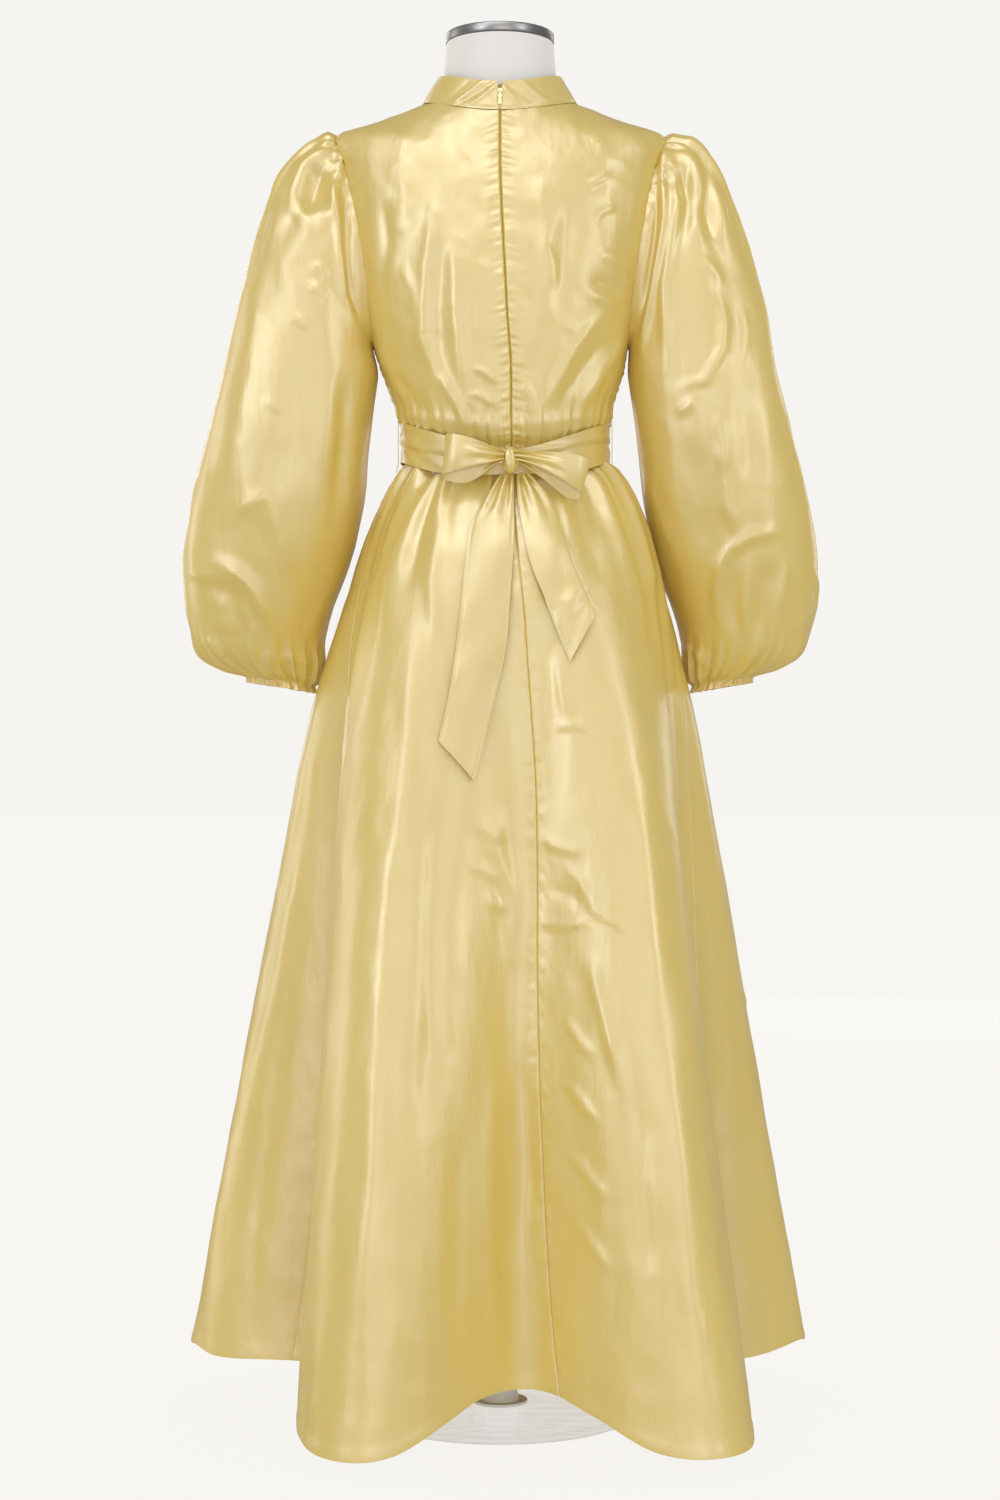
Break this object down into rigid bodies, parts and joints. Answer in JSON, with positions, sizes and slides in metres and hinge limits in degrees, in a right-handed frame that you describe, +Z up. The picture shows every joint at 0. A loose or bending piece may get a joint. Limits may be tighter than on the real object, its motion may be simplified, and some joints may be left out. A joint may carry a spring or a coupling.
{
  "type": "long-sleeved satin maxi dress on a limbless dress form",
  "caption": "Floor-length satin dress with bishop sleeves, stand collar, back zip and tied sash, worn on a limbless dress form with a metal cap, white pole and round glass base.",
  "frame": {"origin": "centre of the base plate's underside, on the floor", "axes": "+Z up the form's pole, +Y towards the wearer's front, +X towards the wearer's right, so the dress's back with its zip and bow faces -Y"},
  "size_m": [0.7488, 0.6287, 1.604],
  "materials": {
    "yellow_satin": "glossy pale yellow satin",
    "yellow_satin_sash": "glossy pale yellow satin",
    "zip_tape": "matt woven tape",
    "zip_metal": "lacquered pale metal",
    "form_white": "smooth matt white",
    "brushed_steel": "brushed",
    "pole_white": "white powder coat",
    "clear_glass": "clear tempered glass with a polished edge"
  },
  "bodies": {
    "dress": {"bodice_back_left": "yellow_satin", "bodice_back_right": "yellow_satin", "bodice_front": "yellow_satin", "collar": "yellow_satin", "sleeve_left": "yellow_satin", "sleeve_right": "yellow_satin", "skirt_back_left": "yellow_satin", "skirt_back_right": "yellow_satin", "skirt_front": "yellow_satin", "sash_band": "yellow_satin_sash", "bow_knot": "yellow_satin_sash", "bow_loop_left": "yellow_satin_sash", "bow_loop_right": "yellow_satin_sash", "bow_tail_left": "yellow_satin_sash", "bow_tail_right": "yellow_satin_sash", "belt_loop_left": "yellow_satin", "belt_loop_right": "yellow_satin", "zip_tape": "zip_tape", "zip_slider": "zip_metal", "form_torso": "form_white", "form_cap": "brushed_steel", "form_pole": "pole_white", "form_hub": "pole_white", "form_base": "clear_glass"},
    "zip_pull": {"zip_pull": "zip_metal"}
  },
  "joints": [
    {"name": "zip_pull_hinge", "type": "hinge", "parent": "dress", "child": "zip_pull", "pos_m": [0, -0.07795, 1.52008], "axis": [-1, 0, 0], "range_deg": [0, 150]}
  ]
}
